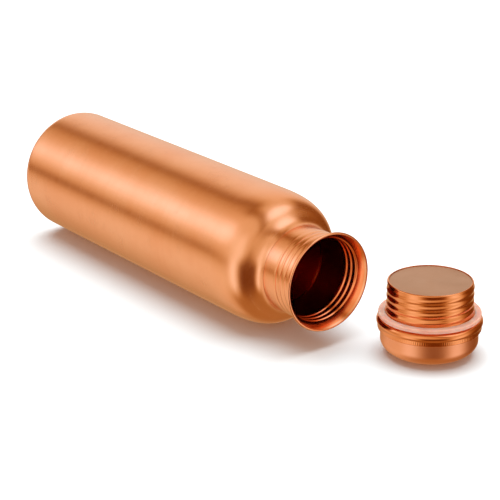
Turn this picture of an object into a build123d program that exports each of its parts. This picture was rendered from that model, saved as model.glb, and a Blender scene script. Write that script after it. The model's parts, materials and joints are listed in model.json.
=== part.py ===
from build123d import *
from math import atan2, cos, radians, sin, tan
import os

# Copper water bottle with a screw cap. The bottle lies on its side, axis along +X,
# mouth towards +X. The cap stands beside the mouth on its dome, plug upwards.

# ---------------------------------------------------------------- driving sizes (mm)
barrel_r = 37.0
bottle_len = 254.5
sheet = 0.6
heel_r = 8.3
foot_inner_r = 24.0
shoulder_start = 197.0

neck_in_r = 23.25
neck_out_r = neck_in_r + sheet
neck_bottom = 219.0
collar_in_r = neck_out_r + 0.05
collar_out_r = collar_in_r + sheet
collar_end = 229.0
lip_out_r = 26.8

thread_lead = 3.7
thread_height = 0.7
thread_turns_open = 5.0
travel = thread_lead * thread_turns_open

dome_r = 25.4
dome_flat_r = 11.0
dome_curve_top = 8.0
dome_edge = 14.3
skirt_r = 24.65
skirt_top = 20.4
grip_r = 27.5
grip_mid = 17.2
grip_bottom = 14.35
grip_top = 21.0
gasket_bottom = 21.3
gasket_top = 23.4
gasket_in_r = 23.1
gasket_out_r = 26.6
plug_out_r = 22.1
plug_in_r = plug_out_r - sheet
plug_base_r = 22.9
plug_flare_top = 28.2
plug_end = 40.15
flange_bottom = 20.45
flange_top = 21.15
disc_r = 21.2
disc_bottom = 38.9
disc_top = 39.7

# ---------------------------------------------------------------- layout
bottle_x = -159.0
bottle_y = -14.0
bottle_z = barrel_r
cap_x = 131.5
cap_y = 23.5
mouth_x = bottle_x + bottle_len
seat_gap = 0.2

bottle_plane = Plane(origin=(bottle_x, bottle_y, bottle_z), x_dir=(1, 0, 0), z_dir=(0, -1, 0))
bottle_axis = Axis((bottle_x, bottle_y, bottle_z), (1, 0, 0))
cap_plane = Plane(origin=(cap_x, cap_y, 0), x_dir=(1, 0, 0), z_dir=(0, -1, 0))
cap_axis = Axis((cap_x, cap_y, 0), (0, 0, 1))

# The cap is carried from beside the mouth to the neck axis by one turn about a slanted line.
carry_from = Vector(cap_x, cap_y, gasket_top)
carry_to = Vector(mouth_x + seat_gap + travel, bottle_y, bottle_z)
carry = carry_to - carry_from
swing_dir = Vector(1, 0, 1).cross(carry).normalized()
up = Vector(0, 0, 1)
inward = Vector(-1, 0, 0)
up_flat = up - swing_dir * up.dot(swing_dir)
in_flat = inward - swing_dir * inward.dot(swing_dir)
swing_angle = atan2(up_flat.cross(in_flat).dot(swing_dir), up_flat.dot(in_flat))
swing_pivot = (carry_from + carry_to) * 0.5 + swing_dir.cross(carry) * (0.5 / tan(swing_angle / 2))


def swung(v):
    """Direction v after the cap's swing from the table to the neck axis."""
    across = swing_dir.cross(v)
    along = swing_dir * swing_dir.dot(v)
    return v * cos(swing_angle) + across * sin(swing_angle) + along * (1 - cos(swing_angle))


# Plug ridge centre on the +X side of the cap, and the neck ridge half a lead away from it.
plug_ridge_z = 36.5 + thread_lead * 36.87 / 360
start = swung(Vector(1, 0, 0))
mesh_angle = atan2(start.Z, start.Y)
mesh_x = mouth_x + seat_gap - (plug_ridge_z - gasket_top) - thread_lead / 2

# ---------------------------------------------------------------- body shell
shoulder = [(shoulder_start, barrel_r), (209.0, 36.3), (215.0, 34.9), (219.0, 32.7), (222.2, 29.4)]
shoulder_in = [(shoulder_start, barrel_r - sheet), (208.9, 35.7), (214.75, 34.35), (218.58, 32.27), (221.7, 29.02)]
arc_mid = heel_r * (1 - sin(radians(45)))
in_r = heel_r - sheet
arc_mid_in = sheet + in_r * (1 - sin(radians(45)))
with BuildPart() as body_shell:
    with BuildSketch(bottle_plane) as shell_half:
        with BuildLine() as shell_line:
            Line((0, foot_inner_r), (0, barrel_r - heel_r))
            ThreePointArc((0, barrel_r - heel_r), (arc_mid, barrel_r - arc_mid), (heel_r, barrel_r))
            Line((heel_r, barrel_r), shoulder[0])
            Spline(*shoulder, tangents=[(1, 0), (0.62, -1)])
            Spline(shoulder[-1], (224.2, 26.6), (226.6, collar_out_r), tangents=[(0.62, -1), (1, -0.05)])
            Line((226.6, collar_out_r), (collar_end, collar_out_r))
            Line((collar_end, collar_out_r), (collar_end, collar_in_r))
            Line((collar_end, collar_in_r), (226.3, collar_in_r))
            Spline((226.3, collar_in_r), (223.6, 26.1), shoulder_in[-1], tangents=[(-1, 0.05), (-0.62, 1)])
            Spline(*reversed(shoulder_in), tangents=[(-0.62, 1), (-1, 0)])
            Line(shoulder_in[0], (heel_r, barrel_r - sheet))
            ThreePointArc(
                (heel_r, barrel_r - sheet),
                (arc_mid_in, barrel_r - arc_mid_in),
                (sheet, barrel_r - heel_r),
            )
            Line((sheet, barrel_r - heel_r), (sheet, foot_inner_r))
            Line((sheet, foot_inner_r), (0, foot_inner_r))
        make_face()
    revolve(axis=bottle_axis)
body_shell.part.label = "body_shell"

# ---------------------------------------------------------------- base plate
# Pressed disc brazed inside the foot ring, its middle dished into the bottle.
with BuildPart() as base_plate:
    with BuildSketch(bottle_plane):
        with BuildLine():
            Line((3.4, 0), (3.4, 17.0))
            Spline((3.4, 17.0), (sheet + 1.2, 20.4), (sheet, 23.6), tangents=[(0, 1), (-0.1, 1)])
            Line((sheet, 23.6), (sheet, 28.4))
            Line((sheet, 28.4), (2 * sheet, 28.4))
            Line((2 * sheet, 28.4), (2 * sheet, 24.0))
            Spline((2 * sheet, 24.0), (2 * sheet + 1.3, 20.8), (3.4 + sheet, 17.3), tangents=[(0.1, -1), (0, -1)])
            Line((3.4 + sheet, 17.3), (3.4 + sheet, 0))
            Line((3.4 + sheet, 0), (3.4, 0))
        make_face()
    revolve(axis=bottle_axis)
base_plate.part.label = "base_plate"


# ---------------------------------------------------------------- helical ridges
def ridge(wall_r, outward, height, base_half, tip_half, length):
    """Rolled thread ridge around local +Z, its root sunk a little into the wall."""
    side = 1 if outward else -1
    root = 0.25
    slope = (base_half - tip_half) / height
    wide = base_half + slope * root
    with BuildPart() as thread:
        with BuildLine() as path:
            Helix(pitch=thread_lead, height=length, radius=wall_r)
        with BuildSketch(Plane(origin=path.line @ 0, x_dir=(1, 0, 0), z_dir=path.line % 0)):
            with BuildLine():
                Polyline(
                    (-side * root, -wide),
                    (side * height, -tip_half),
                    (side * height, tip_half),
                    (-side * root, wide),
                    close=True,
                )
            make_face()
        sweep(path=path.line, is_frenet=True)
    return thread.part


def along_neck(first_x):
    """Placement that winds a ridge around the neck from first_x, in mesh with the plug."""
    face = Plane(
        origin=(first_x, bottle_y, bottle_z),
        x_dir=(0, cos(mesh_angle), sin(mesh_angle)),
        z_dir=(1, 0, 0),
    )
    return Location(face)


inner_first = mesh_x
while inner_first > bottle_x + 241.0:
    inner_first -= thread_lead
while inner_first < bottle_x + 237.3:
    inner_first += thread_lead
inner_ridge = ridge(neck_in_r, False, thread_height, 1.3, 0.45, 3 * thread_lead)
outer_ridge = ridge(neck_out_r, True, 0.4, 1.15, 0.4, 3.5 * thread_lead)
placed_inner = inner_ridge.moved(along_neck(inner_first))
placed_outer = outer_ridge.moved(along_neck(inner_first - thread_lead / 2))

# ---------------------------------------------------------------- threaded neck
lip_back = bottle_len - 2.0
with BuildPart() as threaded_neck:
    with BuildSketch(bottle_plane):
        with BuildLine():
            Line((neck_bottom, neck_in_r), (neck_bottom, neck_out_r))
            Line((neck_bottom, neck_out_r), (249.6, neck_out_r))
            Spline((249.6, neck_out_r), (251.2, 24.7), (lip_back, 26.2), tangents=[(1, 0), (0.7, 1)])
            ThreePointArc((lip_back, 26.2), (lip_back + 1.1, lip_out_r), (bottle_len, 26.4))
            Line((bottle_len, 26.4), (bottle_len, 25.5))
            Spline((bottle_len, 25.5), (252.9, 24.6), (250.2, neck_in_r), tangents=[(-0.5, -0.5), (-1, 0)])
            Line((250.2, neck_in_r), (neck_bottom, neck_in_r))
        make_face()
    revolve(axis=bottle_axis)
    add(placed_inner)
    add(placed_outer)
threaded_neck.part.label = "threaded_neck"

# ---------------------------------------------------------------- cap dome
with BuildPart() as cap_dome:
    with BuildSketch(cap_plane):
        with BuildLine():
            Line((0, 0), (dome_flat_r, 0))
            Spline(
                (dome_flat_r, 0),
                (18.6, 1.15),
                (23.2, 3.9),
                (dome_r, dome_curve_top),
                tangents=[(1, 0), (0, 1)],
            )
            Line((dome_r, dome_curve_top), (dome_r, dome_edge))
            Line((dome_r, dome_edge), (skirt_r, dome_edge))
            Line((skirt_r, dome_edge), (skirt_r, skirt_top))
            Line((skirt_r, skirt_top), (skirt_r - sheet, skirt_top))
            Line((skirt_r - sheet, skirt_top), (skirt_r - sheet, dome_curve_top))
            Spline(
                (skirt_r - sheet, dome_curve_top),
                (22.1, 4.4),
                (18.0, 1.85),
                (dome_flat_r, sheet),
                tangents=[(0, -1), (-1, 0)],
            )
            Line((dome_flat_r, sheet), (0, sheet))
            Line((0, sheet), (0, 0))
        make_face()
    revolve(axis=cap_axis)
cap_dome.part.label = "cap_dome"

# ---------------------------------------------------------------- rolled grip ring
# Hollow barrel-shaped ring rolled from sheet around the dome's skirt.
ring_in_r = skirt_r + 0.05
with BuildPart() as cap_bead_ring:
    with BuildSketch(cap_plane):
        with BuildLine():
            Line((ring_in_r, grip_bottom), (grip_r - 1.3, grip_bottom))
            Spline(
                (grip_r - 1.3, grip_bottom),
                (grip_r - 0.35, 15.0),
                (grip_r, grip_mid),
                tangents=[(1, 0.05), (0, 1)],
            )
            Spline(
                (grip_r, grip_mid),
                (grip_r - 0.4, 19.3),
                (grip_r - 1.9, grip_top),
                tangents=[(0, 1), (-1, 0.2)],
            )
            Line((grip_r - 1.9, grip_top), (ring_in_r, grip_top))
            Line((ring_in_r, grip_top), (ring_in_r, grip_bottom))
        make_face()
        with BuildLine():
            Line((ring_in_r + sheet, grip_bottom + sheet), (grip_r - 1.5, grip_bottom + sheet))
            Spline(
                (grip_r - 1.5, grip_bottom + sheet),
                (grip_r - sheet, grip_mid),
                (grip_r - 2.1, grip_top - sheet),
                tangents=[(1, 0.3), (-1, 0.3)],
            )
            Line((grip_r - 2.1, grip_top - sheet), (ring_in_r + sheet, grip_top - sheet))
            Line((ring_in_r + sheet, grip_top - sheet), (ring_in_r + sheet, grip_bottom + sheet))
        make_face(mode=Mode.SUBTRACT)
    revolve(axis=cap_axis)
cap_bead_ring.part.label = "cap_bead_ring"

# ---------------------------------------------------------------- threaded plug
plug_ridge_first = plug_ridge_z - 3 * thread_lead
plug_ridge = ridge(plug_out_r, True, thread_height, 1.3, 0.45, 3.15 * thread_lead)
placed_plug_ridge = plug_ridge.moved(Location((cap_x, cap_y, plug_ridge_first)))
with BuildPart() as cap_plug:
    with BuildSketch(cap_plane):
        with BuildLine():
            Line((plug_in_r, flange_bottom), (skirt_r - 0.05, flange_bottom))
            Line((skirt_r - 0.05, flange_bottom), (skirt_r - 0.05, flange_top))
            Line((skirt_r - 0.05, flange_top), (plug_base_r, flange_top))
            Line((plug_base_r, flange_top), (plug_base_r, gasket_top))
            Spline((plug_base_r, gasket_top), (22.36, 25.7), (plug_out_r, plug_flare_top), tangents=[(-0.15, 1), (0, 1)])
            Line((plug_out_r, plug_flare_top), (plug_out_r, plug_end - 0.9))
            ThreePointArc(
                (plug_out_r, plug_end - 0.9),
                (plug_out_r - 0.12, plug_end - 0.22),
                (plug_out_r - 0.45, plug_end),
            )
            Line((plug_out_r - 0.45, plug_end), (plug_in_r, plug_end - 0.15))
            Line((plug_in_r, plug_end - 0.15), (plug_in_r, flange_bottom))
        make_face()
    revolve(axis=cap_axis)
    add(placed_plug_ridge)
cap_plug.part.label = "cap_plug"

# ---------------------------------------------------------------- end disc
with BuildPart() as cap_end_disc:
    with BuildSketch(Plane.XY.offset(disc_bottom)):
        with Locations((cap_x, cap_y)):
            Circle(disc_r)
    extrude(amount=disc_top - disc_bottom)
    chamfer(cap_end_disc.edges().group_by(Axis.Z)[-1], length=0.15)
cap_end_disc.part.label = "cap_end_disc"

# ---------------------------------------------------------------- silicone gasket
with BuildPart() as cap_gasket:
    with BuildSketch(Plane.XY.offset(gasket_bottom)):
        with Locations((cap_x, cap_y)):
            Circle(gasket_out_r)
            Circle(gasket_in_r, mode=Mode.SUBTRACT)
    extrude(amount=gasket_top - gasket_bottom)
    fillet(cap_gasket.edges(), radius=0.35)
cap_gasket.part.label = "cap_gasket"

# ---------------------------------------------------------------- export
os.makedirs("parts", exist_ok=True)
export_step(body_shell.part, "parts/body_shell.step")
export_step(base_plate.part, "parts/base_plate.step")
export_step(threaded_neck.part, "parts/threaded_neck.step")
export_step(cap_dome.part, "parts/cap_dome.step")
export_step(cap_bead_ring.part, "parts/cap_bead_ring.step")
export_step(cap_plug.part, "parts/cap_plug.step")
export_step(cap_end_disc.part, "parts/cap_end_disc.step")
export_step(cap_gasket.part, "parts/cap_gasket.step")
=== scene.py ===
import json
import math

import bpy
import numpy as np
from mathutils import Matrix, Vector


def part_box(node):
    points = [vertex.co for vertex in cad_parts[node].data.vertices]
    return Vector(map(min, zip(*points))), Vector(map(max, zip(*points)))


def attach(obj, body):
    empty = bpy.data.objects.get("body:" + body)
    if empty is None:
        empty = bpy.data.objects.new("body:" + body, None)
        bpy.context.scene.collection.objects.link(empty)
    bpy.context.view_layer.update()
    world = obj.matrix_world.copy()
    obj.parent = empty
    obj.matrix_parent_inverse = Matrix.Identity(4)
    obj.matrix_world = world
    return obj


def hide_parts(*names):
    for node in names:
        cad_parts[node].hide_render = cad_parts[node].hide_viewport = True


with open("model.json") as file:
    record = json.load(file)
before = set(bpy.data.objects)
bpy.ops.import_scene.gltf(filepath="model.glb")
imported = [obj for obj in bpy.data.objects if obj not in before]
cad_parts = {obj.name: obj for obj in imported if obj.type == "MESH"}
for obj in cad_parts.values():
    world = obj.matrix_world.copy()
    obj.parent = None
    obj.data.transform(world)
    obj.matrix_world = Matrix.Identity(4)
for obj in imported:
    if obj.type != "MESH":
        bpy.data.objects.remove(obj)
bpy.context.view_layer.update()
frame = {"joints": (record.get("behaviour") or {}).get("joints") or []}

scene = bpy.context.scene
MM = 0.001
TAU = 2 * math.pi

# ---------------------------------------------------------------- places, from the CAD frame
shell_lo, shell_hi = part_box("body_shell")
neck_lo, neck_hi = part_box("threaded_neck")
dome_lo, dome_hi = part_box("cap_dome")
BOTTLE_X = shell_lo.x
AXIS_Y = (shell_lo.y + shell_hi.y) / 2
AXIS_Z = (shell_lo.z + shell_hi.z) / 2
CAP_X = (dome_lo.x + dome_hi.x) / 2
CAP_Y = (dome_lo.y + dome_hi.y) / 2
CAP_Z = dome_lo.z

# ---------------------------------------------------------------- sizes shared with the CAD, in mm
# Along the bottle s counts from its foot, and along the cap from the top of its dome, on the table.
SHEET = 0.6
BOTTLE_LEN = (neck_hi.x - BOTTLE_X) / MM
BARREL_R = 37.0
BARREL_END = 197.0
HEEL_R = 8.3
HEEL_CENTRE = (HEEL_R, BARREL_R - HEEL_R)
FOOT_R = 24.0
SHOULDER_FOOT = (222.2, 29.4)
COLLAR_END = 229.6
COLLAR_PROUD = 0.012
NECK_START = 219.0
NECK_IN_R = 23.25
NECK_OUT_R = NECK_IN_R + SHEET
PLUG_R = 22.1
GASKET_TOP = 23.4
SEAT_GAP = 0.2

# ---------------------------------------------------------------- threads and knurling, in mm and turns
LEAD = 3.7
PLUG_TOP_RIDGE = 36.5
PLUG_TOP_RIDGE_ANGLE = -36.87
PLUG_RIDGE_Z = PLUG_TOP_RIDGE - LEAD * PLUG_TOP_RIDGE_ANGLE / 360
PLUG_RIDGE_HEIGHT = 0.40
PLUG_TURNS = (-6.0, 0.72)
PLUG_WALL = (22.5, 39.6)
NECK_RIDGE_IN = 0.7
NECK_RIDGE_OUT = 0.22
NECK_TURNS = (-0.4, 3.1)
NECK_WALL = (229.8, 249.6)
NECK_RIDGE_LIMIT = 241.0
WALL_SLACK = 0.05
KNURL_RISE = (14.9, 15.2)
KNURL_FALL = (16.5, 16.9)
KNURL_INSIDE_R = 26.5
KNURL_DEPTH = 0.05
KNURL_COUNT = 150

# The neck's ridge starts where the plug's does once the cap has swung over to the mouth, and lies
# half a lead away from it when the cap is screwed home.
joints = {j["name"]: j for j in frame["joints"]}
swing = joints["cap_swing"]
swing_turn = Matrix.Rotation(math.radians(swing["range_deg"][1]), 3, Vector(swing["axis"]))
cap_start = swing_turn @ Vector((1, 0, 0))
MESH_ANGLE = math.atan2(cap_start.z, cap_start.y)
NECK_RIDGE_S = BOTTLE_LEN + SEAT_GAP - (PLUG_RIDGE_Z - GASKET_TOP) - LEAD / 2
while NECK_RIDGE_S > NECK_RIDGE_LIMIT:
    NECK_RIDGE_S -= LEAD


# ---------------------------------------------------------------- profiles: (along axis, radius) in mm
SAME_POINT = 1e-4
ON_AXIS = 1e-6


def straight(a, b, step):
    n = max(1, int(math.ceil(math.dist(a, b) / step)))
    return [(a[0] + (b[0] - a[0]) * i / n, a[1] + (b[1] - a[1]) * i / n) for i in range(n + 1)]


def bezier(p0, p1, p2, p3, n):
    out = []
    for i in range(n + 1):
        t = i / n
        weights = ((1 - t) ** 3, 3 * t * (1 - t) ** 2, 3 * t * t * (1 - t), t ** 3)
        out.append(tuple(sum(w * p[c] for w, p in zip(weights, (p0, p1, p2, p3))) for c in (0, 1)))
    return out


def arc(centre, radius, a0, a1, n):
    out = []
    for i in range(n + 1):
        a = math.radians(a0 + (a1 - a0) * i / n)
        out.append((centre[0] + radius * math.cos(a), centre[1] + radius * math.sin(a)))
    return out


def joined(*runs):
    """One profile from runs that follow each other, without the points that repeat."""
    out = []
    for run in runs:
        for p in run:
            if not out or math.dist(out[-1], p) > SAME_POINT:
                out.append(p)
    if math.dist(out[0], out[-1]) < SAME_POINT:
        out.pop()
    return np.array(out)


def nearest_index(profile, point):
    """Index of the profile's point nearest to a given one."""
    return int(np.argmin(np.hypot(profile[:, 0] - point[0], profile[:, 1] - point[1])))


# ---------------------------------------------------------------- turning a profile into a piece
def along_x(s, r, a):
    return BOTTLE_X + s * MM, AXIS_Y + r * MM * np.cos(a), AXIS_Z + r * MM * np.sin(a)


def along_z(s, r, a):
    return CAP_X + r * MM * np.cos(a), CAP_Y + r * MM * np.sin(a), CAP_Z + s * MM


def turned_faces(counts, seg):
    """Faces between rings of points; a ring on the axis has one point and gives triangles."""
    firsts = [sum(counts[:i]) for i in range(len(counts))]
    faces = []
    for i, first in enumerate(firsts):
        k = (i + 1) % len(counts)
        if counts[i] == 1 and counts[k] == 1:
            continue
        for j in range(seg):
            m = (j + 1) % seg
            corners = (
                first + j % counts[i],
                first + m % counts[i],
                firsts[k] + m % counts[k],
                firsts[k] + j % counts[k],
            )
            faces.append(list(dict.fromkeys(corners)))
    return faces


def signed_volume(mesh):
    mesh.calc_loop_triangles()
    total = 0.0
    for triangle in mesh.loop_triangles:
        a, b, c = (mesh.vertices[v].co for v in triangle.vertices)
        total += a.dot(b.cross(c)) / 6
    return total


def mark_points(mesh, name, values):
    attribute = mesh.attributes.new(name, "FLOAT", "POINT")
    attribute.data.foreach_set("value", np.array(values, np.float32))


def lathe(name, profile, place, seg, relief=None, bore=None):
    """A turned piece from a closed profile.

    relief(s, r, angle) gives the radius of each point, and bore is the first and last
    index of the profile's inner face. The point attribute "run" is the distance along
    the profile in metres, for the brushed rings, and "bore" is 1 on the inner face.
    """
    s = np.repeat(profile[:, :1], seg, 1)
    r = np.repeat(profile[:, 1:], seg, 1)
    angle = np.repeat((np.arange(seg) * TAU / seg)[None, :], len(profile), 0)
    if relief is not None:
        r = relief(s, r, angle)
    rings = np.stack(place(s, r, angle), -1)
    counts = [1 if radius < ON_AXIS else seg for radius in profile[:, 1]]
    points = [tuple(point) for ring, count in zip(rings, counts) for point in ring[:count]]
    mesh = bpy.data.meshes.new(name)
    mesh.from_pydata(points, [], turned_faces(counts, seg))
    mesh.update()
    if signed_volume(mesh) < 0:
        mesh.flip_normals()
    mesh.shade_smooth()
    steps = np.hypot(*np.diff(profile, axis=0).T)
    run = np.concatenate([[0], np.cumsum(steps)]) * MM
    mark_points(mesh, "run", np.repeat(run, counts))
    if bore is not None:
        order = np.arange(len(profile))
        mark_points(mesh, "bore", np.repeat((order >= bore[0]) & (order <= bore[1]), counts))
    piece = bpy.data.objects.new(name, mesh)
    scene.collection.objects.link(piece)
    return piece


# ---------------------------------------------------------------- thread relief
def ramp(x, lo, hi):
    t = np.clip((x - lo) / (hi - lo), 0, 1)
    return t * t * (3 - 2 * t)


def crest(s, angle, origin, lo, hi, fade):
    """1 along a ridge that winds up from origin, between turns lo and hi, and 0 between its turns."""
    phase = (s - origin) / LEAD - angle / TAU
    nearest = np.round(phase)
    along = nearest + angle / TAU
    window = ramp(along, lo, lo + fade) * (1 - ramp(along, hi - fade, hi))
    return window * (1 + np.cos(TAU * (phase - nearest))) / 2


def plug_relief(s, r, angle):
    wall = (r > PLUG_R - WALL_SLACK) & (s > PLUG_WALL[0]) & (s < PLUG_WALL[1])
    return r + wall * PLUG_RIDGE_HEIGHT * crest(s, angle, PLUG_RIDGE_Z, *PLUG_TURNS, fade=0.25)


def neck_relief(s, r, angle):
    """The rolled thread: a groove outside and a sharper ridge inside, both towards the axis."""
    wall = (r < NECK_OUT_R + WALL_SLACK) & (s > NECK_WALL[0]) & (s < NECK_WALL[1])
    inner = wall & (r < NECK_IN_R + SHEET / 2)
    outer = wall & ~inner
    ridge = crest(s, (angle - MESH_ANGLE) % TAU, NECK_RIDGE_S, *NECK_TURNS, fade=0.3)
    return r - inner * NECK_RIDGE_IN * ridge**2.5 - outer * NECK_RIDGE_OUT * ridge**2


def knurl_relief(s, r, angle):
    """Fine flutes in the grip ring's narrow band at the dome's end."""
    band = ramp(s, *KNURL_RISE) * (1 - ramp(s, *KNURL_FALL)) * (r > KNURL_INSIDE_R)
    return r - band * KNURL_DEPTH * (0.5 + 0.5 * np.cos(KNURL_COUNT * angle))


# ---------------------------------------------------------------- body shell: heel to collar
collar_out = (COLLAR_END, NECK_OUT_R + COLLAR_PROUD)
collar_in = (226.9, 23.9)
shoulder_in = (221.68, 29.1)
body_profile = joined(
    straight((0.25, FOOT_R), (0.0, FOOT_R + 0.25), 1.0),
    straight((0.0, FOOT_R + 0.25), (0.0, HEEL_CENTRE[1]), 0.8),
    arc(HEEL_CENTRE, HEEL_R, 180, 90, 24),
    straight((HEEL_R, BARREL_R), (BARREL_END, BARREL_R), 4.0),
    bezier((BARREL_END, BARREL_R), (211, BARREL_R), (218.5, 35.5), SHOULDER_FOOT, 40),
    bezier(SHOULDER_FOOT, (223.75, 26.85), (225.6, 24.05), collar_out, 32),
    straight(collar_out, collar_in, 0.5),
    bezier(collar_in, (224.3, 24.0), (223.0, 27.0), shoulder_in, 16),
    bezier(shoulder_in, (218.1, 34.9), (211, BARREL_R - SHEET), (BARREL_END, BARREL_R - SHEET), 30),
    straight((BARREL_END, BARREL_R - SHEET), (HEEL_R, BARREL_R - SHEET), 8.0),
    arc(HEEL_CENTRE, HEEL_R - SHEET, 90, 180, 16),
    straight((SHEET, HEEL_CENTRE[1]), (SHEET, FOOT_R), 0.8),
)
# The inner face ends short of the foot's hole, so that its painted shade doesn't reach the outside.
body_bore = (nearest_index(body_profile, collar_in), len(body_profile) - 3)
body = lathe("body_skin", body_profile, along_x, 320, bore=body_bore)

# ---------------------------------------------------------------- base plate: disc in the foot ring
base_profile = joined(
    straight((3.4, 0.0), (3.4, 17.0), 1.5),
    bezier((3.4, 17.0), (3.4, 19.8), (0.85, 20.6), (0.62, 23.4), 16),
    straight((0.62, 23.4), (0.62, 28.4), 1.0),
    straight((0.62, 28.4), (1.2, 28.4), 0.3),
    straight((1.2, 28.4), (1.2, 24.0), 1.0),
    bezier((1.2, 24.0), (1.5, 20.9), (4.0, 20.4), (4.0, 17.3), 16),
    straight((4.0, 17.3), (4.0, 0.0), 1.5),
)
base = lathe("base_skin", base_profile, along_x, 192)

# ---------------------------------------------------------------- neck: rolled thread, flare, rolled lip
THREAD_STEP = 0.2
FLARE_START = 249.3
lip_inside = (253.5, 24.7)
neck_profile = joined(
    straight((NECK_START, NECK_IN_R), (NECK_START, NECK_OUT_R), 0.3),
    straight((NECK_START, NECK_OUT_R), (NECK_WALL[0], NECK_OUT_R), 2.0),
    straight((NECK_WALL[0], NECK_OUT_R), (FLARE_START, NECK_OUT_R), THREAD_STEP),
    bezier((FLARE_START, NECK_OUT_R), (250.9, NECK_OUT_R), (251.9, 24.6), (252.95, 26.15), 20),
    arc((253.75, 26.05), 0.75, 172, -25, 20),
    bezier((254.43, 25.73), (253.3, 25.0), (251.4, 23.75), (FLARE_START, NECK_IN_R), 30),
    straight((FLARE_START, NECK_IN_R), (NECK_WALL[0], NECK_IN_R), THREAD_STEP),
    straight((NECK_WALL[0], NECK_IN_R), (NECK_START, NECK_IN_R), 2.0),
)
neck_bore = (nearest_index(neck_profile, lip_inside), len(neck_profile) - 1)
neck = lathe("neck_skin", neck_profile, along_x, 256, neck_relief, neck_bore)

# ---------------------------------------------------------------- cap dome: flat top, edge, skirt
dome_profile = joined(
    straight((0.0, 0.0), (0.0, 11.0), 1.0),
    bezier((0.0, 11.0), (0.1, 18.0), (3.0, 24.9), (8.0, 25.4), 32),
    straight((8.0, 25.4), (13.9, 25.4), 0.5),
    arc((13.9, 25.0), 0.4, 90, 0, 6),
    straight((14.3, 25.0), (14.3, 24.65), 0.2),
    straight((14.3, 24.65), (20.4, 24.65), 1.0),
    straight((20.4, 24.65), (20.4, 24.05), 0.3),
    straight((20.4, 24.05), (8.0, 24.05), 1.0),
    bezier((8.0, 24.05), (3.6, 23.8), (0.7, 17.8), (SHEET, 11.0), 20),
    straight((SHEET, 11.0), (SHEET, 0.0), 1.0),
)
dome = lathe("cap_dome_skin", dome_profile, along_z, 224)

# ---------------------------------------------------------------- grip ring: knurled band, barrel, edge
bead_profile = joined(
    straight((14.4, 24.7), (14.4, 25.9), 0.5),
    bezier((14.4, 25.9), (14.4, 26.6), (14.55, 26.85), (14.9, 26.9), 8),
    straight((14.9, 26.9), (16.9, 26.98), 0.2),
    bezier((16.9, 26.98), (17.35, 27.0), (17.6, 27.5), (18.4, 27.52), 14),
    bezier((18.4, 27.52), (19.3, 27.54), (20.2, 27.1), (20.5, 26.3), 16),
    bezier((20.5, 26.3), (20.6, 25.9), (20.85, 25.6), (21.2, 25.4), 8),
    straight((21.2, 25.4), (21.2, 24.7), 0.3),
    straight((21.2, 24.7), (14.4, 24.7), 1.0),
)
bead = lathe("cap_bead_skin", bead_profile, along_z, 960, knurl_relief)

# ---------------------------------------------------------------- plug: flange, root, ridges, end rim
plug_profile = joined(
    straight((20.45, 21.5), (20.45, 24.55), 1.0),
    straight((20.45, 24.55), (21.15, 24.55), 0.3),
    straight((21.15, 24.55), (21.15, 23.0), 0.5),
    straight((21.15, 23.0), (23.2, 22.9), 0.3),
    bezier((23.2, 22.9), (25.0, 22.6), (26.6, PLUG_R), (28.4, PLUG_R), 32),
    straight((28.4, PLUG_R), (39.3, PLUG_R), 0.16),
    arc((39.3, PLUG_R - 0.85), 0.85, 90, 12, 10),
    straight((40.13, 21.43), (40.13, 21.4), 0.2),
    arc((39.95, 21.38), 0.18, 0, -90, 4),
    straight((39.95, 21.2), (39.4, 21.25), 0.3),
    straight((39.4, 21.25), (38.6, 21.5), 0.5),
    straight((38.6, 21.5), (20.45, 21.5), 1.0),
)
plug = lathe("cap_plug_skin", plug_profile, along_z, 256, plug_relief)

# ---------------------------------------------------------------- end disc
disc_profile = joined(
    straight((38.9, 0.0), (38.9, 21.0), 1.5),
    straight((38.9, 21.0), (39.5, 21.15), 0.3),
    arc((39.5, 21.0), 0.2, 40, 0, 3),
    straight((39.7, 20.9), (39.7, 0.0), 1.5),
)
disc = lathe("cap_disc_skin", disc_profile, along_z, 192)

# ---------------------------------------------------------------- gasket
gasket_profile = joined(
    arc((21.75, 26.15), 0.45, 180, 90, 6),
    straight((21.75, 26.6), (22.95, 26.6), 0.3),
    arc((22.95, 26.15), 0.45, 90, 0, 6),
    straight((GASKET_TOP, 26.15), (23.34, 24.9), 0.5),
    straight((23.34, 24.9), (GASKET_TOP, 23.5), 0.5),
    arc((23.1, 23.4), 0.3, 0, -90, 5),
    straight((23.1, 23.1), (21.6, 23.1), 0.4),
    arc((21.6, 23.4), 0.3, 270, 180, 5),
    straight((21.3, 23.4), (21.3, 26.15), 0.5),
)
gasket = lathe("gasket_skin", gasket_profile, along_z, 224)

# ---------------------------------------------------------------- node helpers
MIX_FACTOR, MIX_A, MIX_B, MIX_RESULT = 0, 6, 7, 2


def put(tree, kind, values=None, **props):
    """A new node with its properties set and its sockets set or linked."""
    node = tree.nodes.new(kind)
    for key, value in props.items():
        setattr(node, key, value)
    for key, value in (values or {}).items():
        if isinstance(value, bpy.types.NodeSocket):
            tree.links.new(value, node.inputs[key])
        else:
            node.inputs[key].default_value = value
    return node


def calc(tree, op, a, b=0.0, c=0.0):
    return put(tree, "ShaderNodeMath", {0: a, 1: b, 2: c}, operation=op).outputs[0]


def between(tree, factor, a, b):
    """The number a where the factor is 0, and b where it is 1."""
    return calc(tree, "MULTIPLY_ADD", factor, calc(tree, "SUBTRACT", b, a), a)


def remap(tree, value, lo, hi, to_lo, to_hi, kind="SMOOTHSTEP"):
    return put(
        tree,
        "ShaderNodeMapRange",
        {"Value": value, "From Min": lo, "From Max": hi, "To Min": to_lo, "To Max": to_hi},
        interpolation_type=kind,
    ).outputs[0]


def noise(tree, vector, scale, detail, rough):
    return put(
        tree,
        "ShaderNodeTexNoise",
        {"Vector": vector, "Scale": scale, "Detail": detail, "Roughness": rough},
    ).outputs["Fac"]


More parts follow.
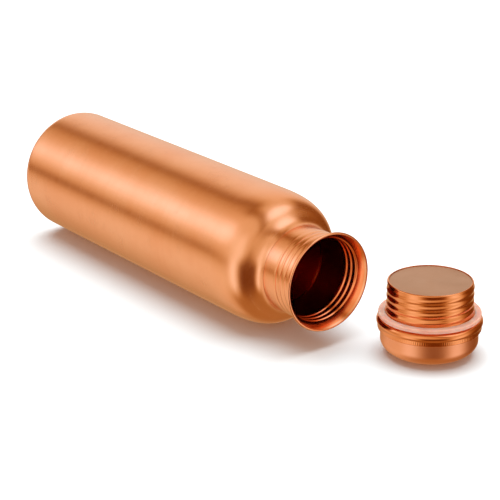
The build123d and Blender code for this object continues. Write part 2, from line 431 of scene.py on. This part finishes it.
def blended(tree, factor, a, b):
    """The colour a where the factor is 0, and b where it is 1."""
    values = {MIX_FACTOR: factor}
    for socket, colour in ((MIX_A, a), (MIX_B, b)):
        values[socket] = colour if isinstance(colour, bpy.types.NodeSocket) else (*colour, 1)
    return put(tree, "ShaderNodeMix", values, data_type="RGBA").outputs[MIX_RESULT]


def new_material(name):
    material = bpy.data.materials.new(name)
    material.use_nodes = True
    material.node_tree.nodes.clear()
    return material


def finish_material(tree, shader):
    out = put(tree, "ShaderNodeOutputMaterial")
    tree.links.new(shader.outputs[0], out.inputs["Surface"])


# ---------------------------------------------------------------- copper
LIGHT = (0.965, 0.425, 0.203)
DARK = (0.93, 0.375, 0.163)
# Painted shade: these factors make the inner face's colour darker and redder than the outside.
BORE_PAINTED_SHADE = (1.0, 0.68, 0.48)
BORE_POLISH = -0.03
STAIN_SHADE = 0.82
RING_SQUEEZE = 0.012


def copper(name, light, dark, axis, rough, spread, stretch, lines, grain, marks):
    """Turned and brushed copper: fine rings around the axis, grain, soft tarnish, and painted shade in
    the bore.
    """
    material = new_material(name)
    tree = material.node_tree
    place = put(tree, "ShaderNodeTexCoord").outputs["Object"]
    run = put(tree, "ShaderNodeAttribute", attribute_name="run").outputs["Fac"]
    split = put(tree, "ShaderNodeSeparateXYZ", {0: place})
    across = ("Y", "Z") if axis == "X" else ("X", "Y")
    ring = put(
        tree,
        "ShaderNodeCombineXYZ",
        {
            "X": run,
            "Y": calc(tree, "MULTIPLY", split.outputs[across[0]], RING_SQUEEZE),
            "Z": calc(tree, "MULTIPLY", split.outputs[across[1]], RING_SQUEEZE),
        },
    ).outputs[0]
    fine = noise(tree, ring, scale=5200.0, detail=2.0, rough=0.6)
    coarse = noise(tree, ring, scale=900.0, detail=3.0, rough=0.6)
    speck = noise(tree, place, scale=1500.0, detail=2.0, rough=0.6)
    cloud = noise(tree, place, scale=28.0, detail=3.0, rough=0.55)
    smear = noise(tree, place, scale=90.0, detail=4.0, rough=0.6)
    rings = calc(tree, "MULTIPLY_ADD", coarse, 0.45, calc(tree, "MULTIPLY", fine, 0.55))

    tint = calc(tree, "MULTIPLY_ADD", rings, 0.35, calc(tree, "MULTIPLY", cloud, 0.65))
    colour = blended(tree, remap(tree, tint, 0.36, 0.64, 0.0, 1.0), dark, light)
    stain = remap(tree, smear, 0.56, 0.74, 0.0, marks)
    colour = blended(tree, stain, colour, tuple(c * STAIN_SHADE for c in dark))
    inside = put(tree, "ShaderNodeAttribute", attribute_name="bore").outputs["Fac"]
    # The inner face is painted darker and redder: painted shade of the hollow inside.
    colour = blended(tree, inside, colour, tuple(c * k for c, k in zip(light, BORE_PAINTED_SHADE)))

    wear = calc(tree, "MULTIPLY_ADD", rings, 0.5, calc(tree, "MULTIPLY", smear, 0.5))
    roughness = remap(tree, wear, 0.35, 0.65, rough - spread, rough + spread, "LINEAR")
    roughness = calc(tree, "MULTIPLY_ADD", inside, BORE_POLISH, roughness)

    brushed = calc(tree, "MULTIPLY", rings, lines)
    height = calc(tree, "ADD", brushed, calc(tree, "MULTIPLY", speck, grain))
    bump = put(tree, "ShaderNodeBump", {"Height": height, "Strength": 1.0, "Distance": 0.00001})
    tangent = put(tree, "ShaderNodeTangent", direction_type="RADIAL", axis=axis)
    shader = put(
        tree,
        "ShaderNodeBsdfPrincipled",
        {
            "Base Color": colour,
            "Metallic": 1.0,
            "Roughness": roughness,
            "Anisotropic": stretch,
            "Anisotropic Rotation": 0.25,
            "Normal": bump.outputs[0],
            "Tangent": tangent.outputs[0],
        },
    )
    finish_material(tree, shader)
    return material


satin_x = copper(
    "copper_satin_bottle", LIGHT, DARK, "X",
    rough=0.25, spread=0.03, stretch=0.5, lines=0.35, grain=0.5, marks=0.25,
)
satin_neck = copper(
    "copper_satin_neck", LIGHT, DARK, "X",
    rough=0.22, spread=0.03, stretch=0.4, lines=0.30, grain=0.3, marks=0.2,
)
satin_z = copper(
    "copper_satin_cap", (0.965, 0.40, 0.195), (0.93, 0.35, 0.155), "Z",
    rough=0.38, spread=0.03, stretch=0.2, lines=0.30, grain=0.4, marks=0.2,
)
bright_z = copper(
    "copper_bright_cap", (0.88, 0.31, 0.11), (0.82, 0.26, 0.08), "Z",
    rough=0.18, spread=0.03, stretch=0.3, lines=0.25, grain=0.2, marks=0.2,
)
matt_z = copper(
    "copper_matt_disc", (0.62, 0.36, 0.23), (0.54, 0.30, 0.18), "Z",
    rough=0.5, spread=0.05, stretch=0.3, lines=0.9, grain=0.9, marks=0.15,
)


# ---------------------------------------------------------------- silicone
SILICONE_DEEP = (0.70, 0.35, 0.26)
SILICONE_PALE = (0.80, 0.44, 0.34)


def silicone(name):
    """Translucent pinkish silicone, faintly mottled, with a fine matt skin."""
    material = new_material(name)
    tree = material.node_tree
    place = put(tree, "ShaderNodeTexCoord").outputs["Object"]
    mottle = noise(tree, place, scale=140.0, detail=3.0, rough=0.55)
    skin = noise(tree, place, scale=2600.0, detail=2.0, rough=0.5)
    tone = remap(tree, mottle, 0.35, 0.65, 0.0, 1.0, "LINEAR")
    bump = put(tree, "ShaderNodeBump", {"Height": skin, "Strength": 0.6, "Distance": 0.00002})
    shader = put(
        tree,
        "ShaderNodeBsdfPrincipled",
        {
            "Base Color": blended(tree, tone, SILICONE_DEEP, SILICONE_PALE),
            "Roughness": remap(tree, mottle, 0.3, 0.7, 0.42, 0.55, "LINEAR"),
            "Subsurface Weight": 0.8,
            "Subsurface Radius": (1.0, 0.45, 0.3),
            "Subsurface Scale": 0.005,
            "Specular IOR Level": 0.45,
            "Normal": bump.outputs[0],
        },
    )
    finish_material(tree, shader)
    return material


rubber = silicone("silicone_pink")

# ---------------------------------------------------------------- bodies, CAD nodes and materials
pieces = (
    (body, "bottle", "body_shell", "copper_satin", satin_x),
    (base, "bottle", "base_plate", "copper_satin", satin_x),
    (neck, "bottle", "threaded_neck", "copper_satin", satin_neck),
    (dome, "cap", "cap_dome", "copper_satin", satin_z),
    (bead, "cap", "cap_bead_ring", "copper_bright", bright_z),
    (plug, "cap", "cap_plug", "copper_bright", bright_z),
    (disc, "cap", "cap_end_disc", "copper_matt", matt_z),
    (gasket, "cap_advance", "cap_gasket", "silicone", rubber),
)
for piece, rider, node, slot_name, material in pieces:
    piece.data.materials.append(material)
    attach(piece, rider)
    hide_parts(node)

# ---------------------------------------------------------------- floor
FLOOR_SIZE = 12
PAPER_GREY = (0.9, 0.9, 0.9, 1)
bpy.ops.mesh.primitive_grid_add(x_subdivisions=8, y_subdivisions=8, size=FLOOR_SIZE)
floor = bpy.context.object
floor.name = "floor"
paper = bpy.data.materials.new("paper")
paper.use_nodes = True
paper_shader = paper.node_tree.nodes["Principled BSDF"]
paper_shader.inputs["Base Color"].default_value = PAPER_GREY
paper_shader.inputs["Roughness"].default_value = 1.0
paper_shader.inputs["Specular IOR Level"].default_value = 0.0
floor.data.materials.append(paper)
floor.visible_glossy = False

# ---------------------------------------------------------------- studio surroundings
# Only glossy rays see this pattern of light and dark, which has a copper tint of its own.
# The camera sees white, and diffuse rays see one soft fill colour.
FILL = (0.64, 0.53, 0.46)
WHITE = (1.0, 1.0, 1.0)
BLACK = (0.0, 0.0, 0.0)
RED_POWER = 0.62
BLUE_POWER = 1.7
SECOND_BOUNCE_LOSS = 0.25

# (degrees, level) pairs with 1 for white. This one is for the foot's end, -X, by the angle around
# the bottle's axis: 0 is straight up, and 90 is -Y, the camera's side.
FOOT_END = (
    (-180, 0.42), (-150, 0.34), (-115, 0.55), (-85, 0.85), (-50, 0.95), (-30, 0.85),
    (-18, 0.50), (-10, 0.16), (-5, 0.12), (3, 0.42), (18, 0.66), (36, 0.90),
    (52, 1.20), (68, 0.98), (82, 0.62), (91, 0.12), (96, 0.08), (104, 0.55),
    (118, 0.86), (140, 0.84), (160, 0.62), (180, 0.42),
)
# These two are for the mouth's end, by compass angle: 0 is +X and 90 is +Y. The first holds near
# the horizon and below it, and the second above it.
MOUTH_END_LOW = (
    (-180, 0.40), (-150, 0.11), (-126, 0.15), (-110, 0.8), (-93, 1.35), (-79, 1.15),
    (-60, 0.22), (-50, 0.06), (-14, 0.06), (-4, 0.18), (8, 0.9), (20, 1.40),
    (36, 1.15), (52, 0.22), (64, 0.07), (110, 0.10), (180, 0.40),
)
MOUTH_END_HIGH = (
    (-180, 0.7), (-150, 0.5), (-112, 0.9), (-84, 1.1), (-62, 1.1), (-44, 0.75),
    (-18, 0.62), (6, 0.8), (34, 0.85), (56, 0.28), (76, 0.12), (116, 0.12),
    (150, 0.8), (180, 0.7),
)
# Other parts of the pattern. Each pair says where a soft edge starts and ends: in a direction's own
# x or z, in the cosine of the angle from a lamp or a seam, or in radians around the bottle's axis.
MOUTH_END_X = (-0.55, -0.1)
ABOVE_HORIZON_Z = (-0.12, 0.24)
ZENITH_Z = (0.55, 0.80)
ZENITH_LEVEL = 0.75
UNDER_Z = (-0.88, -0.55)
UNDER_LEVEL = 0.26
OFF_AXIS_X = (-0.82, -0.70)
NEAR_SIDE_ANGLE = (1.05, 1.45)
NEAR_SIDE_SHARE = 0.40
NEAR_SIDE_LEVEL = 0.85
SIDE_LAMP_TOWARD = Vector((-0.66, -0.58, 0.48)).normalized()
SIDE_LAMP_EDGE = (0.945, 0.999)
SIDE_LAMP_LEVEL = 0.5
TOP_LAMP_TOWARD = Vector((0.45, 0.34, 0.83)).normalized()
TOP_LAMP_EDGE = (0.88, 0.98)
TOP_LAMP_LEVEL = 0.8
SEAM_ACROSS = (0.0, 0.991, 0.13)
SEAM_EDGE = (0.02, 0.24)
SEAM_SHADE = 0.72
SEAM_Z = (0.25, 0.5)
SEAM_X = (-0.66, -0.5)


def round_the_circle(tree, radians, levels):
    """A level by angle, from (degrees, level) pairs that go once round from -180 to 180."""
    turn = calc(tree, "MULTIPLY_ADD", radians, 1 / TAU, 0.5)
    node = put(tree, "ShaderNodeValToRGB", {"Fac": turn})
    elements = node.color_ramp.elements
    while len(elements) < len(levels):
        elements.new(0.5)
    for element, (degrees, level) in zip(elements, levels):
        element.position = (degrees + 180) / 360
        element.color = (level, level, level, 1)
    return node.outputs[0]


def cosine_to(tree, direction, toward):
    return put(
        tree,
        "ShaderNodeVectorMath",
        {0: direction, 1: toward},
        operation="DOT_PRODUCT",
    ).outputs["Value"]


def studio_level(tree, direction):
    """The level of light that comes from a direction."""
    axes = put(tree, "ShaderNodeSeparateXYZ", {0: direction})
    dx, dy, dz = axes.outputs
    roll = calc(tree, "ARCTAN2", calc(tree, "MULTIPLY", dy, -1.0), dz)
    compass = calc(tree, "ARCTAN2", dy, dx)

    foot_end = round_the_circle(tree, roll, FOOT_END)
    off_axis = remap(tree, dx, *OFF_AXIS_X, 0.0, NEAR_SIDE_SHARE)
    near_side = calc(tree, "MULTIPLY", off_axis, remap(tree, roll, *NEAR_SIDE_ANGLE, 0.0, 1.0))
    foot_end = between(tree, near_side, foot_end, NEAR_SIDE_LEVEL)

    low = round_the_circle(tree, compass, MOUTH_END_LOW)
    high = round_the_circle(tree, compass, MOUTH_END_HIGH)
    mouth_end = between(tree, remap(tree, dz, *ABOVE_HORIZON_Z, 0.0, 1.0), low, high)
    mouth_end = between(tree, remap(tree, dz, *ZENITH_Z, 0.0, 1.0), mouth_end, ZENITH_LEVEL)
    mouth_end = between(tree, remap(tree, dz, *UNDER_Z, 1.0, 0.0), mouth_end, UNDER_LEVEL)

    level = between(tree, remap(tree, dx, *MOUTH_END_X, 0.0, 1.0), foot_end, mouth_end)
    side_lamp = cosine_to(tree, direction, SIDE_LAMP_TOWARD)
    level = calc(tree, "ADD", level, remap(tree, side_lamp, *SIDE_LAMP_EDGE, 0.0, SIDE_LAMP_LEVEL))
    top_lamp = cosine_to(tree, direction, TOP_LAMP_TOWARD)
    level = calc(tree, "ADD", level, remap(tree, top_lamp, *TOP_LAMP_EDGE, 0.0, TOP_LAMP_LEVEL))

    off_seam = calc(tree, "ABSOLUTE", cosine_to(tree, direction, SEAM_ACROSS))
    seam = remap(tree, off_seam, *SEAM_EDGE, SEAM_SHADE, 0.0)
    seam = calc(tree, "MULTIPLY", seam, remap(tree, dz, *SEAM_Z, 0.0, 1.0))
    seam = calc(tree, "MULTIPLY", seam, remap(tree, dx, *SEAM_X, 0.0, 1.0))
    return calc(tree, "MULTIPLY", level, calc(tree, "SUBTRACT", 1.0, seam))


world = bpy.data.worlds.new("studio")
scene.world = world
world.use_nodes = True
world.cycles.sampling_method = "NONE"
sky = world.node_tree
sky.nodes.clear()
level = studio_level(sky, put(sky, "ShaderNodeTexCoord").outputs["Generated"])
tinted = put(
    sky,
    "ShaderNodeCombineColor",
    {0: calc(sky, "POWER", level, RED_POWER), 1: level, 2: calc(sky, "POWER", level, BLUE_POWER)},
).outputs[0]
path = put(sky, "ShaderNodeLightPath")
onward = calc(sky, "MINIMUM", path.outputs["Diffuse Depth"], 1.0)
tinted = blended(sky, calc(sky, "MULTIPLY", onward, SECOND_BOUNCE_LOSS), tinted, BLACK)
plain = blended(sky, path.outputs["Is Camera Ray"], FILL, WHITE)
seen = blended(sky, path.outputs["Is Glossy Ray"], plain, tinted)
background = put(sky, "ShaderNodeBackground", {"Color": seen, "Strength": 1.0})
world_out = put(sky, "ShaderNodeOutputWorld")
sky.links.new(background.outputs[0], world_out.inputs[0])

# ---------------------------------------------------------------- key light: large, soft, from overhead
KEY_TOWARD = Vector((-0.22, 0.12, 1.0))
KEY_STRENGTH = math.pi * 1.2
KEY_SPREAD = math.radians(66)
KEY_COLOUR = (0.78, 0.93, 1.0)
key_data = bpy.data.lights.new("key", "SUN")
key_data.energy = KEY_STRENGTH
key_data.angle = KEY_SPREAD
key_data.color = KEY_COLOUR
key = bpy.data.objects.new("key", key_data)
key.rotation_euler = KEY_TOWARD.to_track_quat("Z", "Y").to_euler()
key.visible_glossy = False
scene.collection.objects.link(key)

# ---------------------------------------------------------------- camera, at the photograph's angle
# In degrees: the view's compass angle from +X, how far it looks down, and its small tilt.
CAMERA_AT = Vector((0.670863, -0.495904, 0.338830))
CAMERA_HEADING = 143.1531
CAMERA_DESCENT = 20.7031
CAMERA_ROLL = -0.8499
camera_data = bpy.data.cameras.new("camera")
camera_data.sensor_width = 36.0
camera_data.lens = 112.70
camera = bpy.data.objects.new("camera", camera_data)
scene.collection.objects.link(camera)
heading = Matrix.Rotation(math.radians(CAMERA_HEADING - 90), 4, "Z")
descent = Matrix.Rotation(math.radians(90 - CAMERA_DESCENT), 4, "X")
roll = Matrix.Rotation(math.radians(CAMERA_ROLL), 4, "Z")
camera.matrix_world = Matrix.Translation(CAMERA_AT) @ heading @ descent @ roll
scene.camera = camera
scene.view_settings.view_transform = "Standard"
scene.view_settings.look = "None"
